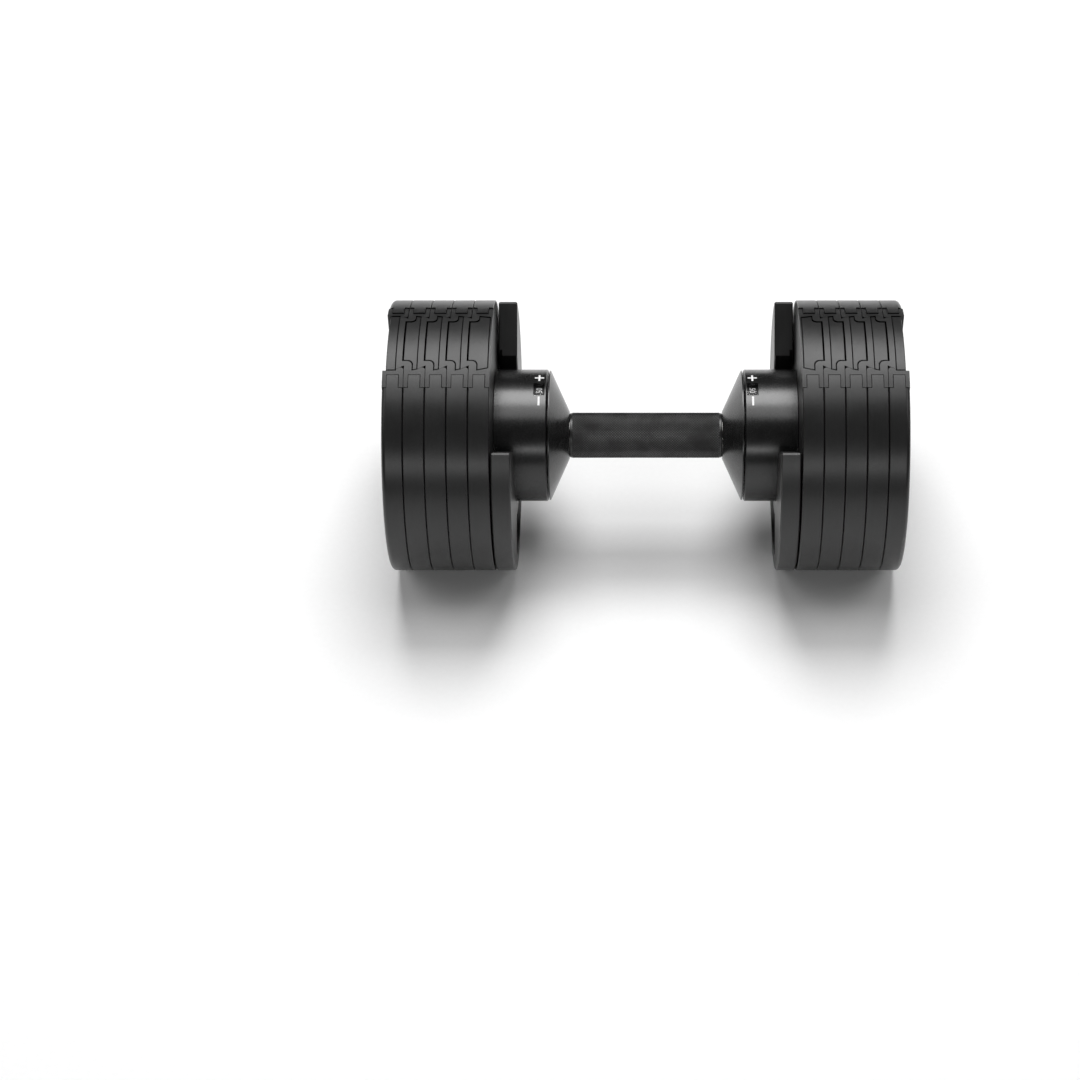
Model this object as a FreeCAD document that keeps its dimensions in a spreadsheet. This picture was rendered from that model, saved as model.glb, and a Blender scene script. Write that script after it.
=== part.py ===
import FreeCAD, Part
import os
from FreeCAD import Placement, Rotation, Vector

# Adjustable dumbbell, in millimetres.
#
# Frame: +X along the bar, +Y away from the user, +Z up. The origin is on the floor under
# the middle of the grip, and the bar's axis is axis_height above it. Each piece is drawn
# about the bar's axis and then lifted by its own Placement. The right-hand pieces are
# drawn, and the left-hand ones are their mirror images in X = 0.
#
# Turning the grip turns the cam sleeve inside it. Two helical slots in the cam sleeve push
# a follower pin on each lock rod outwards or inwards, and a rod carries every weight plate
# that it reaches. A sprung plunger under each drum locks the dial when the dumbbell is
# lifted. Neighbouring plates hold each other by a dovetail rail in a groove, open at the top.

SIZES = (
    ("axis_height", 92.0, "floor to the bar's axis"),
    ("plate_radius", 98.0, "outer radius of a weight plate"),
    ("plate_pitch", 15.0, "from one plate to the next"),
    ("plate_gap", 0.4, "air between two plate rims"),
    ("stack_end", 183.5, "outer face of the last plate"),
    ("rim_round", 3.2, "round on the last plate's outer edge"),
    ("rim_chamfer", 0.5, "chamfer on the other rim edges"),
    ("cheek_depth", 3.5, "recess in each face of the steel plate"),
    ("recess_radius", 88.0, "radius of that recess"),
    ("shell_radius", 97.4, "top edge of the plastic, just under the rim"),
    ("cheek_half", 40.5, "half width of the plastic at the rim"),
    ("tab_half", 31.4, "half width of the notch in the steel"),
    ("notch_floor", 34.0, "bottom of that notch above the axis"),
    ("panel_floor", 38.0, "bottom of the core panel above the axis"),
    ("panel_half", 27.7, "half width of the core panel"),
    ("panel_outer", 0.5, "how far a core panel stands past its plate"),
    ("hook_half", 20.1, "inner face of the rail's hooks"),
    ("hook_depth", 5.5, "depth of the hooks behind the plate's face"),
    ("hook_round", 3.4, "round on the back of each hook"),
    ("mouth_round", 2.0, "round on the groove's mouth"),
    ("panel_slant", 0.22, "narrowing of a core panel for each mm inwards"),
    ("rail_tip_half", 26.8, "half width of the groove's floor"),
    ("rail_neck_half", 23.7, "half width of the groove's mouth"),
    ("rail_depth", 5.4, "depth of the groove"),
    ("rail_web", 4.0, "thickness of the rail's head"),
    ("rail_play", 0.15, "clearance of rail in groove"),
    ("rail_drop", 30.0, "lower end of the rail below the axis"),
    ("groove_drop", 32.0, "lower end of the groove below the axis"),
    ("lip_half", 29.0, "half width of the steel's pocket for the groove"),
    ("end_recess", 2.5, "recess at the top of the last plate's outer face"),
    ("skin", 0.9, "plastic left behind the innermost core panel"),
    ("fit_gap", 0.1, "assembly gap between fixed pieces"),
    ("seam_gap", 0.4, "seam beside a plastic piece, along the bar"),
    ("seam_wide", 0.85, "seam in front of and behind a plastic piece"),
    ("seam_depth", 3.0, "depth of the seams beside the steel at the rim"),
    ("seam_chamfer", 0.45, "chamfer on the edges of those seams"),
    ("panel_drop", 0.4, "top of a core panel below its shell"),
    ("seat_gap", 0.04, "radial gap of a pin or a tube in its seat"),
    ("plate_bore", 9.5, "radius of the rod's hole in a plate"),
    ("shell_bore", 10.2, "radius of the rod's hole in the plastic"),
    ("saddle_in", 94.0, "inner face of the saddle plate"),
    ("saddle_out", 107.5, "outer face of the saddle plate"),
    ("saddle_chamfer", 0.8, "chamfer on the saddle plate's edges"),
    ("saddle_slot", 48.5, "radius and half width of the U slot"),
    ("saddle_wall", 33.5, "top of the slot's upright walls above the axis"),
    ("saddle_tip", 60.3, "flat tips of the saddle's two arms above the axis"),
    ("saddle_pocket", 51.6, "half width of the pocket for the drum's flange"),
    ("pocket_depth", 2.5, "depth of that pocket"),
    ("hollow_inside", 58.0, "inner radius of the hollow under the slot"),
    ("hollow_outside", 87.5, "outer radius of that hollow"),
    ("hollow_depth", 9.0, "depth of that hollow"),
    ("hollow_flare", 0.9, "sideways run of its ends for each mm downwards"),
    ("pad_radius", 8.0, "radius of the pads between saddle and plate"),
    ("bolt_radius", 3.0, "saddle bolt shank"),
    ("bolt_head", 5.0, "saddle bolt head"),
    ("bolt_head_depth", 3.0, "thickness of that head"),
    ("bolt_tip", 98.0, "tip of the saddle bolts"),
    ("drum_radius", 47.8, "outer radius of the drum"),
    ("drum_wall", 3.0, "drum wall"),
    ("drum_in", 70.7, "inner face of the drum"),
    ("drum_face", 1.5, "thickness of that face"),
    ("drum_seam", 105.0, "joint between the drum and its end"),
    ("drum_out", 108.2, "outer face of the drum's end"),
    ("drum_chamfer", 0.8, "chamfer on the drum's inner edge"),
    ("drum_hole", 32.0, "hole for the cone's hub"),
    ("plug_in", 102.0, "inner face of the plug on the drum's end"),
    ("flange_in", 105.3, "inner face of the drum's flange"),
    ("flange_out", 107.3, "outer face of that flange"),
    ("flange_radius", 51.2, "flange that keeps the drum in the saddle"),
    ("flange_top", 12.0, "top of that flange above the axis"),
    ("window_in", 72.4, "window's inner edge"),
    ("window_out", 80.4, "window's outer edge"),
    ("window_half", 6.1, "half length of the window round the drum"),
    ("lens_play", 0.2, "gap round the lens"),
    ("lens_sink", 0.4, "lens below the drum's surface"),
    ("lens_thickness", 2.0, "thickness of the lens"),
    ("screw_circle", 41.0, "radius of the drum's screw circle"),
    ("screw_radius", 1.5, "drum screw shank"),
    ("screw_head", 3.4, "drum screw head"),
    ("screw_tip", 94.0, "tip of the drum screws"),
    ("screw_boss", 4.0, "radius of the drum's screw bosses"),
    ("boss_in", 92.0, "inner end of those bosses"),
    ("boss_out", 101.0, "outer end of those bosses"),
    ("counterbore", 2.5, "depth of the pockets for the screw heads"),
    ("hub_radius", 30.0, "the cone's hub"),
    ("hub_end", 79.4, "outer end of the hub"),
    ("cone_in", 55.4, "small end of the cone"),
    ("cone_small", 17.3, "small radius of the cone"),
    ("cone_large", 47.0, "large radius of the cone"),
    ("cone_lip", 68.9, "where the cone meets its lip"),
    ("cone_out", 69.7, "outer face of the cone's lip"),
    ("grip_radius", 16.5, "outside of the grip"),
    ("grip_end", 55.2, "end of the grip"),
    ("grip_chamfer", 0.6, "chamfer on the grip's ends"),
    ("cam_radius", 13.5, "outside of the cam sleeve"),
    ("cam_bore", 11.35, "inside of the cam sleeve"),
    ("cam_end", 92.0, "end of the cam sleeve"),
    ("sleeve_bore", 13.55, "bore of the pieces on the cam sleeve"),
    ("bush_radius", 12.5, "outside of a bush"),
    ("bush_bore", 11.05, "inside of a bush"),
    ("bush_in", 86.0, "inner end of a bush"),
    ("core_radius", 11.0, "outside of the core tube"),
    ("core_bore", 9.06, "inside of the core tube"),
    ("core_end", 103.5, "end of the core tube"),
    ("rod_radius", 9.0, "lock rod"),
    ("rod_in", 74.0, "inner end of a lock rod, fully out"),
    ("rod_tip", 178.0, "tip of a lock rod, fully out"),
    ("rod_chamfer", 1.5, "chamfer on the rod's tip"),
    ("rod_stroke", 72.0, "travel of a lock rod"),
    ("pin_out", 80.0, "follower pin's place, rod fully out"),
    ("pin_radius", 2.9, "follower pin"),
    ("pin_reach", 13.2, "how far the pin reaches from the axis"),
    ("pin_root", 2.5, "the pin's blind end from the axis"),
    ("slot_half", 3.3, "half width of the pin's slots"),
    ("cam_slot_length", 9.5, "length of the helical slot along the bar"),
    ("cam_lead", 80.0, "travel of the helix in one whole turn"),
    ("cam_start_angle", -126.0, "angle of the pin at the slot's inner end"),
    ("cam_overrun", 1.8, "travel that the slot goes on for past the pin at each end"),
    ("dial_radius", 43.8, "outside of the dial ring"),
    ("dial_band", 2.0, "thickness of the numbered band"),
    ("dial_in", 72.9, "inner edge of the numbered band"),
    ("dial_web_in", 79.6, "inner face of the dial's web"),
    ("dial_web_out", 81.6, "outer face of the dial's web"),
    ("dial_out", 87.2, "outer face of the notched ring"),
    ("notch_circle", 34.0, "inside of the notched ring"),
    ("notch_root", 37.6, "bottom of a notch"),
    ("notch_half", 2.8, "half width of a notch"),
    ("tooth_half", 2.3, "half width of the plunger's tooth"),
    ("tooth_in", 82.6, "inner face of the tooth"),
    ("tooth_out", 86.6, "outer face of the tooth"),
    ("tooth_drop", 33.4, "tip of the tooth below the axis, pressed in"),
    ("arm_drop", 29.0, "underside of the plunger's arm"),
    ("stem_top", 24.0, "top of the plunger below the axis"),
    ("stem_drop", 47.2, "foot of the plunger below the axis"),
    ("stem_half", 4.0, "half width of the stem"),
    ("stem_in", 89.5, "inner face of the stem"),
    ("stem_out", 93.5, "outer face of the stem"),
    ("stem_play", 0.3, "clearance round the stem"),
    ("stem_hole_top", 36.0, "top of the stem's hole in the drum below the axis"),
    ("boss_radius", 16.0, "the drum end's boss"),
    ("boss_face", 93.7, "inner face of that boss"),
    ("shelf_top", 15.0, "top of the spring's shelf below the axis"),
    ("shelf_drop", 18.0, "underside of that shelf"),
    ("shelf_half", 6.0, "half width of that shelf"),
    ("guide_drop", 38.0, "lower end of the stem's guides below the axis"),
    ("spring_radius", 2.2, "plunger spring, to the wire's middle"),
    ("spring_wire", 0.35, "radius of its wire"),
    ("spring_gap", 0.05, "assembly gap at each end of the spring"),
)

PLATES = 5            # weight plates on each side
NOTCHES = 10          # settings of the dial
DRUM_SCREWS = 3
BOLT_PLACES = ((70.0, 14.0), (-70.0, 14.0), (66.0, -48.0), (-66.0, -48.0))

ALONG_X = Rotation(Vector(0, 1, 0), 90)        # a cylinder's own axis turned to +X
CYCLE = Rotation(Vector(1, 1, 1), 120)         # own X, Y, Z become Y, Z, X
QUARTER = Rotation(Vector(0, 0, 1), -90)       # own Y becomes X

doc = FreeCAD.newDocument("adjustable_dumbbell")
sheet = doc.addObject("Spreadsheet::Sheet", "dim")
for row, (alias, size, note) in enumerate(SIZES, start=1):
    sheet.set(f"A{row}", note)
    sheet.set(f"B{row}", str(size))
    sheet.setAlias(f"B{row}", alias)
doc.recompute()

nodes = {}


def size_of(alias):
    """The number that a cell of the sheet holds."""
    return float(sheet.get(alias))


def bind(piece, formulas):
    """Tie a piece's properties to formulas on the sheet."""
    for name, formula in formulas.items():
        piece.setExpression(name, formula)
    return piece


def box(x, y, z):
    """A block between a low and a high formula on each axis."""
    piece = doc.addObject("Part::Box", "block")
    lows_and_sizes = (("x", "Length", x), ("y", "Width", y), ("z", "Height", z))
    for axis, length, (low, high) in lows_and_sizes:
        bind(piece, {length: f"({high}) - ({low})", f"Placement.Base.{axis}": low})
    return piece


def wide_box(x, half, z):
    """A block centred on Y = 0."""
    return box(x, (f"-({half})", half), z)


def disc(x, radius, y="0", z="0"):
    """A cylinder along +X between two formulas."""
    low, high = x
    piece = doc.addObject("Part::Cylinder", "disc")
    piece.Placement.Rotation = ALONG_X
    return bind(piece, {
        "Radius": radius, "Height": f"({high}) - ({low})",
        "Placement.Base.x": low, "Placement.Base.y": y, "Placement.Base.z": z,
    })


def upright(x, radius, z):
    """A cylinder along +Z on Y = 0."""
    low, high = z
    piece = doc.addObject("Part::Cylinder", "post")
    return bind(piece, {
        "Radius": radius, "Height": f"({high}) - ({low})",
        "Placement.Base.x": x, "Placement.Base.z": low,
    })


def cone(x, radii):
    """A cone along +X, with its radius at each end."""
    low, high = x
    piece = doc.addObject("Part::Cone", "cone")
    piece.Placement.Rotation = ALONG_X
    return bind(piece, {
        "Radius1": radii[0], "Radius2": radii[1], "Height": f"({high}) - ({low})",
        "Placement.Base.x": low,
    })


def wedge(along, halves, across, rotation):
    """A prism whose half width goes evenly from one value to another."""
    piece = doc.addObject("Part::Wedge", "wedge")
    piece.Placement.Rotation = rotation
    return bind(piece, {
        "Ymin": along[0], "Ymax": along[1],
        "Xmin": f"-({halves[0]})", "Xmax": halves[0],
        "X2min": f"-({halves[1]})", "X2max": halves[1],
        "Zmin": across[0], "Z2min": across[0],
        "Zmax": across[1], "Z2max": across[1],
    })


def fuse(*pieces):
    joined = doc.addObject("Part::MultiFuse", "joined")
    joined.Shapes = list(pieces)
    joined.Refine = True
    return joined


def cut(base, *tools):
    """Take one or more tools out of a base."""
    result = doc.addObject("Part::Cut", "cut")
    result.Base = base
    result.Tool = tools[0] if len(tools) == 1 else fuse(*tools)
    result.Refine = True
    return result


def common(base, tool):
    result = doc.addObject("Part::Common", "common")
    result.Base = base
    result.Tool = tool
    result.Refine = True
    return result


def edges_where(piece, test):
    doc.recompute()
    return [i for i, edge in enumerate(piece.Shape.Edges, start=1) if test(edge)]


def rounded(piece, alias, test):
    """Fillet the edges that pass a test, by a radius from the sheet."""
    numbers = edges_where(piece, test)
    result = doc.addObject("Part::Fillet", "rounded")
    result.Base = piece
    result.Edges = [(number, size_of(alias), size_of(alias)) for number in numbers]
    return result


def chamfered(piece, alias, test):
    """Chamfer the edges that pass a test, by a size from the sheet."""
    numbers = edges_where(piece, test)
    result = doc.addObject("Part::Chamfer", "chamfered")
    result.Base = piece
    result.Edges = [(number, size_of(alias), size_of(alias)) for number in numbers]
    return result


def mirrored(piece):
    """The image of a piece in the plane X = 0."""
    image = doc.addObject("Part::Mirroring", "image")
    image.Source = piece
    image.Normal = Vector(1, 0, 0)
    return image


def add_node(piece, label, x="0", lift="0"):
    """Name a finished piece and lift it from the bar's axis to its height above the floor."""
    piece.Label = label
    bind(piece, {"Placement.Base.x": x, "Placement.Base.z": f"dim.axis_height + ({lift})"})
    nodes[label] = piece
    return piece


def add_pair(piece, label, x="0", lift="0"):
    """A right-hand piece, and its mirror image as the left-hand one."""
    right = add_node(piece, f"right_{label}", x, lift)
    left = mirrored(right)
    left.Label = f"left_{label}"
    nodes[left.Label] = left


def all_flat_at(edge, axis, place):
    """True where every point of an edge has one coordinate."""
    box_of = edge.BoundBox
    low, high = getattr(box_of, f"{axis}Min"), getattr(box_of, f"{axis}Max")
    return abs(low - place) < 0.01 and abs(high - place) < 0.01


def upright_at(edge, x, half):
    """True for an upright edge at one X, on either side of Y = 0."""
    sides = all_flat_at(edge, "Y", half) or all_flat_at(edge, "Y", -half)
    return sides and all_flat_at(edge, "X", x)


def lies_on_rim(edge, radius):
    """True for an edge that runs along a cylinder round the bar."""
    low, high = edge.ParameterRange
    points = [edge.valueAt(low + share * (high - low)) for share in (0.0, 0.3, 0.5, 0.8, 1.0)]
    return all(abs((p.y ** 2 + p.z ** 2) ** 0.5 - radius) < 0.01 for p in points)


def is_circle(edge, radius):
    curve = edge.Curve
    return isinstance(curve, Part.Circle) and abs(curve.Radius - radius) < 0.01


# ---- weight plates -----------------------------------------------------------------------
# Drawn with the outer interface at X = 0 and the inner one at X = -plate_pitch.

PLATE_OUT = "-dim.plate_gap / 2"
PLATE_IN = "dim.plate_gap / 2 - dim.plate_pitch"
WEB_OUT = "-dim.cheek_depth"
WEB_IN = "dim.cheek_depth - dim.plate_pitch"
GROOVE_FLOOR = "dim.rail_depth - dim.plate_pitch"
TOP = "dim.plate_radius + 1"
BELOW_ALL = "-dim.plate_radius - 1"


def outer_interface(number):
    """The X of a plate's outer interface; plate 1 is the last on the bar."""
    return f"dim.stack_end - {number - 1} * dim.plate_pitch"


def floor_cut(x):
    """The block that gives a disc its flat base on the floor."""
    return wide_box(x, TOP, (BELOW_ALL, "-dim.axis_height"))


def groove(play="0"):
    """The dovetail groove's space: wide at its floor and narrow at its mouth."""
    return wedge(("-dim.plate_pitch - 0.01", GROOVE_FLOOR),
                 ("dim.rail_neck_half", "dim.rail_tip_half"),
                 ("-dim.groove_drop", TOP), QUARTER)


def rail():
    """The dovetail rail: neck and head, narrower than the groove by its play."""
    return wedge((PLATE_OUT, "dim.rail_depth"),
                 ("dim.rail_neck_half - dim.rail_play", "dim.rail_tip_half - 2 * dim.rail_play"),
                 ("-dim.rail_drop", TOP), QUARTER)


def bolt_holes(x, radius):
    return [disc(x, radius, str(y), str(z)) for y, z in BOLT_PLACES]


def weight_plate(number):
    """A steel disc with a web, a rim, and a notch at the top for the plastic."""
    blank = disc((PLATE_IN, PLATE_OUT), "dim.plate_radius")
    gap = size_of("plate_gap") / 2
    inner, outer = gap - size_of("plate_pitch"), -gap
    if number == 1:
        blank = chamfered(blank, "rim_chamfer", lambda e: all_flat_at(e, "X", inner))
        blank = rounded(blank, "rim_round", lambda e: all_flat_at(e, "X", outer))
    else:
        blank = chamfered(blank, "rim_chamfer",
                          lambda e: all_flat_at(e, "X", inner) or all_flat_at(e, "X", outer))
    outside, inside = (WEB_OUT, "1"), ("-dim.plate_pitch - 1", WEB_IN)
    tools = [floor_cut(("-dim.plate_pitch - 1", "1"))]
    for side in (outside, inside):
        tools.append(disc(side, "dim.recess_radius"))
        tools.append(wide_box(side, "dim.cheek_half", ("0", TOP)))
    through = ("-dim.plate_pitch - 1", "1")
    tools.append(wide_box(through, "dim.tab_half", ("dim.notch_floor", TOP)))
    tools.append(disc(through, "dim.plate_bore"))
    if number < PLATES:
        tools.append(wide_box(("-dim.plate_pitch - 1", GROOVE_FLOOR), "dim.lip_half",
                              ("-dim.groove_drop - 2", TOP)))
    else:
        tools += bolt_holes((f"{WEB_IN} - 1", f"{WEB_OUT} + 1"), "dim.bolt_radius + 0.2")
        tools += bolt_holes((f"{WEB_OUT} - dim.bolt_head_depth - dim.fit_gap", f"{WEB_OUT} + 1"),
                            "dim.bolt_head + 0.3")
    return cut(blank, *tools)


def panel_space(number, play, wide):
    """The room of a core panel in its shell, smaller by a play in X and another in Y."""
    low = "dim.panel_floor" if play == "0" else "dim.panel_floor + dim.fit_gap"
    half = f"dim.panel_half - {wide}"
    inner = GROOVE_FLOOR if number < PLATES else "dim.skin + dim.plate_gap / 2 - dim.plate_pitch"
    inner = f"{inner} + {play}"
    if number == 1:
        return wide_box((inner, "-dim.end_recess"), half, (low, TOP))
    step = f"-dim.hook_depth - {play}"
    narrow = f"{half} - dim.panel_slant * (({step}) - ({inner}))"
    back = wedge((inner, step), (narrow, half), (low, TOP), QUARTER)
    front = wide_box((step, "dim.panel_outer"), f"dim.hook_half - {wide}", (low, TOP))
    return fuse(back, front)


def tab_seams():
    """The seams between the shell's cheeks and the steel tabs, only as deep as is seen."""
    seams = []
    for side in ((WEB_OUT, f"{WEB_OUT} + dim.seam_gap"), (f"{WEB_IN} - dim.seam_gap", WEB_IN)):
        beside = cut(wide_box(side, "dim.cheek_half", ("0", TOP)),
                     wide_box(side, "dim.tab_half - dim.seam_wide", ("0", TOP)))
        seams.append(cut(beside, disc(side, "dim.shell_radius - dim.seam_depth")))
    return seams


def rail_shell(number):
    """The plastic over both faces of a plate, with its rail and its groove."""
    cheek_radius = "dim.recess_radius - dim.fit_gap"
    solids = []
    for side in ((WEB_OUT, PLATE_OUT), (PLATE_IN, WEB_IN)):
        solids.append(disc(side, cheek_radius))
        solids.append(wide_box(side, "dim.cheek_half - dim.seam_wide", ("0", TOP)))
    bar = wide_box((PLATE_IN, PLATE_OUT), "dim.tab_half - dim.seam_wide",
                   ("dim.notch_floor + dim.fit_gap", TOP))
    solids.append(bar)
    if number < PLATES:
        solids.append(wide_box((WEB_IN, GROOVE_FLOOR), "dim.lip_half - dim.fit_gap",
                               ("-dim.groove_drop - 2 + dim.fit_gap", "dim.panel_floor")))
    if number > 1:
        solids.append(rail())
    disc_space = disc(("-dim.plate_pitch - 1", "dim.rail_depth + 1"), "dim.shell_radius")
    body = common(fuse(*solids), disc_space)
    tools = [panel_space(number, "0", "0"), *tab_seams()]
    if number == 1:
        tools.append(wide_box(("-dim.end_recess - 0.01", "1"), "dim.panel_half",
                              ("dim.panel_floor", TOP)))
        tools.append(disc(("-dim.plate_pitch - 1", WEB_OUT), "dim.shell_bore"))
    else:
        tools.append(wide_box(("0", "dim.rail_depth - dim.rail_web"), "dim.hook_half",
                              ("dim.panel_floor", TOP)))
        tools.append(disc(("-dim.plate_pitch - 1", "dim.rail_depth + 1"), "dim.shell_bore"))
    if number < PLATES:
        tools.append(groove())
    else:
        tools += bolt_holes(("-dim.plate_pitch - 1", f"{WEB_IN} + 0.5"), "dim.bolt_radius + 0.2")
    shell = cut(body, *tools)
    if number < PLATES:
        face = size_of("plate_gap") / 2 - size_of("plate_pitch")
        flare = (size_of("rail_tip_half") - size_of("rail_neck_half")) / size_of("rail_depth")
        mouth = size_of("rail_neck_half") + flare * size_of("plate_gap") / 2
        shell = rounded(shell, "mouth_round", lambda e: upright_at(e, face, mouth))
    if number > 1:
        back, hook = -size_of("hook_depth"), size_of("hook_half")
        shell = rounded(shell, "hook_round", lambda e: upright_at(e, back, hook))
    return shell


def core_panel(number):
    """The insert that closes the top of a plate between the shell's hooks."""
    room = panel_space(number, "dim.seam_gap", "dim.seam_wide")
    space = disc(("-dim.plate_pitch - 1", "dim.rail_depth + 1"), "dim.shell_radius - dim.panel_drop")
    panel = common(room, space)
    if number > 1:
        step = -size_of("hook_depth") - size_of("seam_gap")
        side = size_of("hook_half") - size_of("seam_wide")
        panel = rounded(panel, "hook_round", lambda e: upright_at(e, step, side))
    top = size_of("shell_radius") - size_of("panel_drop")
    return chamfered(panel, "seam_chamfer", lambda e: lies_on_rim(e, top))


for plate in range(1, PLATES + 1):
    add_pair(weight_plate(plate), f"weight_plate_{plate}", outer_interface(plate))
    add_pair(rail_shell(plate), f"rail_shell_{plate}", outer_interface(plate))
    add_pair(core_panel(plate), f"core_panel_{plate}", outer_interface(plate))

# ---- saddle plates -----------------------------------------------------------------------


def saddle_plate():
    """A plate with a U slot, open at the top, that the drum drops into."""
    span = ("dim.saddle_in", "dim.saddle_out")
    wide_span = ("dim.saddle_in - 1", "dim.saddle_out + 1")
    slope = "dim.saddle_slot + dim.plate_radius - dim.saddle_wall"
    blank = cut(
        disc(span, "dim.plate_radius"),
        floor_cut(wide_span),
        disc(wide_span, "dim.saddle_slot"),
        wide_box(wide_span, "dim.saddle_slot", ("0", TOP)),
        wedge(("dim.saddle_wall", "dim.plate_radius"), ("dim.saddle_slot", slope), wide_span, CYCLE),
        wide_box(wide_span, TOP, ("dim.saddle_tip", TOP)),
    )
    faces = size_of("saddle_in"), size_of("saddle_out")
    blank = chamfered(blank, "saddle_chamfer",
                      lambda e: all_flat_at(e, "X", faces[0]) or all_flat_at(e, "X", faces[1]))
    pocket = ("dim.saddle_out - dim.pocket_depth", "dim.saddle_out + 2")
    blank = cut(blank, disc(pocket, "dim.saddle_pocket"),
                wide_box(pocket, "dim.saddle_pocket", ("0", TOP)))
    plate_face = f"({outer_interface(PLATES)}) + {PLATE_IN}"
    pads = bolt_holes(("dim.saddle_out - 1", plate_face), "dim.pad_radius")
    mouth = ("dim.saddle_in - 1", "dim.saddle_in + dim.hollow_depth")
    ring = cut(disc(mouth, "dim.hollow_outside"), disc(mouth, "dim.hollow_inside"))
    fan = wedge(("-dim.plate_radius", "-1"),
                ("dim.hollow_flare * dim.plate_radius", "dim.hollow_flare"), mouth, CYCLE)
    holes = bolt_holes(("dim.bolt_tip", "dim.drum_out + 1"), "dim.bolt_radius")
    return cut(fuse(blank, *pads), common(ring, fan), *holes)


def saddle_bolts():
    """Bolts from inside the innermost plate into the saddle plate."""
    head_top = f"({outer_interface(PLATES)}) + {WEB_OUT}"
    head_base = f"({head_top}) - dim.bolt_head_depth"
    shanks = bolt_holes(("dim.bolt_tip", head_base), "dim.bolt_radius")
    heads = bolt_holes((head_base, head_top), "dim.bolt_head")
    return fuse(*shanks, *heads)


add_pair(saddle_plate(), "saddle_plate")
add_pair(saddle_bolts(), "saddle_bolts")

# ---- drums -------------------------------------------------------------------------------

DRUM_BORE = "dim.drum_radius - dim.drum_wall"
DRUM_WALL_SPAN = (f"{DRUM_BORE} - 5", "dim.drum_radius + 2")
SCREW_SEAT = "dim.drum_out - dim.counterbore"


def screw_places():
    """Angles of the drum screws round the bar, from +Y towards +Z."""
    return [60 + 120 * number for number in range(DRUM_SCREWS)]


def on_circle(x, radius, circle, angle):
    """A cylinder along X on a circle round the bar."""
    return disc(x, radius, f"{circle} * cos({angle} deg)", f"{circle} * sin({angle} deg)")


def screw_set(x, radius):
    return [on_circle(x, radius, "dim.screw_circle", angle) for angle in screw_places()]


def drum():
    """The fixed housing round the dial, with a window on top and the plunger's opening below."""
    blank = disc(("dim.drum_in", "dim.drum_seam"), "dim.drum_radius")
    blank = chamfered(blank, "drum_chamfer",
                      lambda e: all_flat_at(e, "X", size_of("drum_in")))
    blank = cut(
        blank,
        disc(("dim.drum_in + dim.drum_face", "dim.drum_seam + 1"), DRUM_BORE),
        disc(("dim.drum_in - 1", "dim.drum_seam"), "dim.drum_hole"),
        wide_box(("dim.window_in", "dim.window_out"), "dim.window_half", DRUM_WALL_SPAN),
    )
    span = ("dim.boss_in", "dim.boss_out")
    bosses = common(fuse(*screw_set(span, "dim.screw_boss")), disc(span, "dim.drum_radius - 1"))
    stem_space = wide_box(("dim.stem_in - dim.stem_play", "dim.stem_out + dim.stem_play"),
                          "dim.stem_half + dim.stem_play",
                          ("-dim.drum_radius - 2", "-dim.stem_hole_top"))
    holes = screw_set(("dim.screw_tip - 1", "dim.boss_out + 1"), "dim.screw_radius")
    return cut(fuse(blank, bosses), stem_space, *holes)


def drum_end():
    """The drum's outer end, which holds the core tube and guides the plunger."""
    plug = disc(("dim.plug_in", "dim.drum_seam"), f"{DRUM_BORE} - dim.fit_gap")
    face = disc(("dim.drum_seam", "dim.drum_out"), "dim.drum_radius")
    rim = ("dim.flange_in", "dim.flange_out")
    flange = common(disc(rim, "dim.flange_radius"),
                    wide_box(rim, "dim.flange_radius", ("-dim.flange_radius", "dim.flange_top")))
    boss = disc(("dim.boss_face", "dim.plug_in + 1"), "dim.boss_radius")
    depth = ("dim.stem_in", "dim.plug_in + 1")
    shelf = wide_box(depth, "dim.shelf_half", ("-dim.shelf_drop", "-dim.shelf_top"))
    guides = [box(depth, side, ("-dim.guide_drop", "-dim.shelf_top")) for side in (
        ("dim.stem_half + dim.stem_play", "dim.shelf_half"),
        ("-dim.shelf_half", "-dim.stem_half - dim.stem_play"))]
    solid = fuse(plug, face, flange, boss, shelf, *guides)
    through = "dim.drum_out + 1"
    return cut(
        solid,
        disc(("dim.boss_face - 1", "dim.core_end + dim.seat_gap"), "dim.core_radius + dim.seat_gap"),
        disc(("dim.boss_face - 1", through), "dim.plate_bore"),
        *screw_set(("dim.plug_in - 1", through), "dim.screw_radius + 0.2"),
        *screw_set((SCREW_SEAT, through), "dim.screw_head + 0.2"),
    )


def drum_screws():
    """Screws from the drum's end into its bosses."""
    heads = screw_set((SCREW_SEAT, "dim.drum_out - 0.2"), "dim.screw_head")
    shanks = screw_set(("dim.screw_tip", SCREW_SEAT), "dim.screw_radius")
    return fuse(*heads, *shanks)


def dial_window():
    """The clear lens over the number, curved with the drum."""
    span = ("dim.window_in + dim.lens_play", "dim.window_out - dim.lens_play")
    block = wide_box(span, "dim.window_half - dim.lens_play", DRUM_WALL_SPAN)
    lens = common(block, disc(span, "dim.drum_radius - dim.lens_sink"))
    underside = "dim.drum_radius - dim.lens_sink - dim.lens_thickness"
    return cut(lens, disc(("dim.window_in", "dim.window_out"), underside))


add_pair(drum(), "drum")
add_pair(drum_end(), "drum_end")
add_pair(drum_screws(), "drum_screws")
add_pair(dial_window(), "dial_window")

# ---- grip, cones and dial: all turn together ---------------------------------------------


def grip_sleeve():
    """The knurled sleeve that the hand turns."""
    ends = ("-dim.grip_end", "dim.grip_end")
    blank = chamfered(disc(ends, "dim.grip_radius"), "grip_chamfer",
                      lambda e: is_circle(e, size_of("grip_radius")))
    return cut(blank, disc(("-dim.grip_end - 1", "dim.grip_end + 1"), "dim.sleeve_bore"))


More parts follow.
